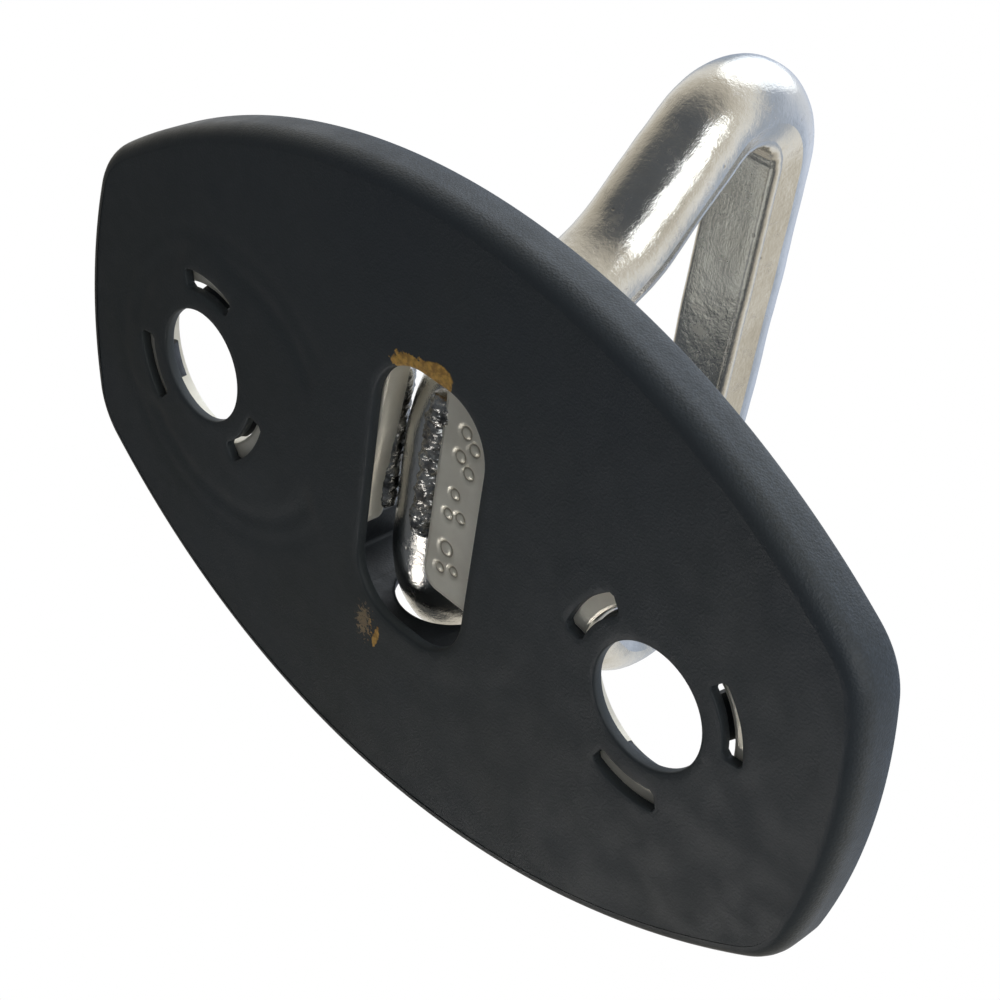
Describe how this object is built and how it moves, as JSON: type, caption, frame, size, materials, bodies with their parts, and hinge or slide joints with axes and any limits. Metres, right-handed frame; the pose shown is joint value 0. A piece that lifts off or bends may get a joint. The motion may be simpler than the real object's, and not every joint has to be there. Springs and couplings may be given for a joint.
{
  "type": "roof anchor",
  "caption": "Bent steel anchor ring welded to a slotted steel base plate that snaps into a lens-shaped plastic pad with two bolt holes.",
  "frame": {"origin": "centre of the pad's flat outer face, midway between the two bolt holes", "axes": "+X along the line of the two bolt holes, +Y along the ring's run on the plate, +Z out of the surface it is fixed to, towards the ring's far bar"},
  "size_m": [0.0992, 0.0726, 0.0488],
  "materials": {
    "pad_plastic": "dark slate grey, finely grained mould texture, slight sheen on the rim",
    "plate_steel": "satin plated sheet steel, slightly warm",
    "ring_steel": "bright plated bent bar, small scratches and draw marks",
    "weld_metal": "rippled weld bead under plating"
  },
  "bodies": {
    "root": {"pad": "pad_plastic", "base_plate": "plate_steel", "ring": "ring_steel", "weld_under": "weld_metal", "weld_top_left": "weld_metal", "weld_top_right": "weld_metal"}
  },
  "joints": []
}
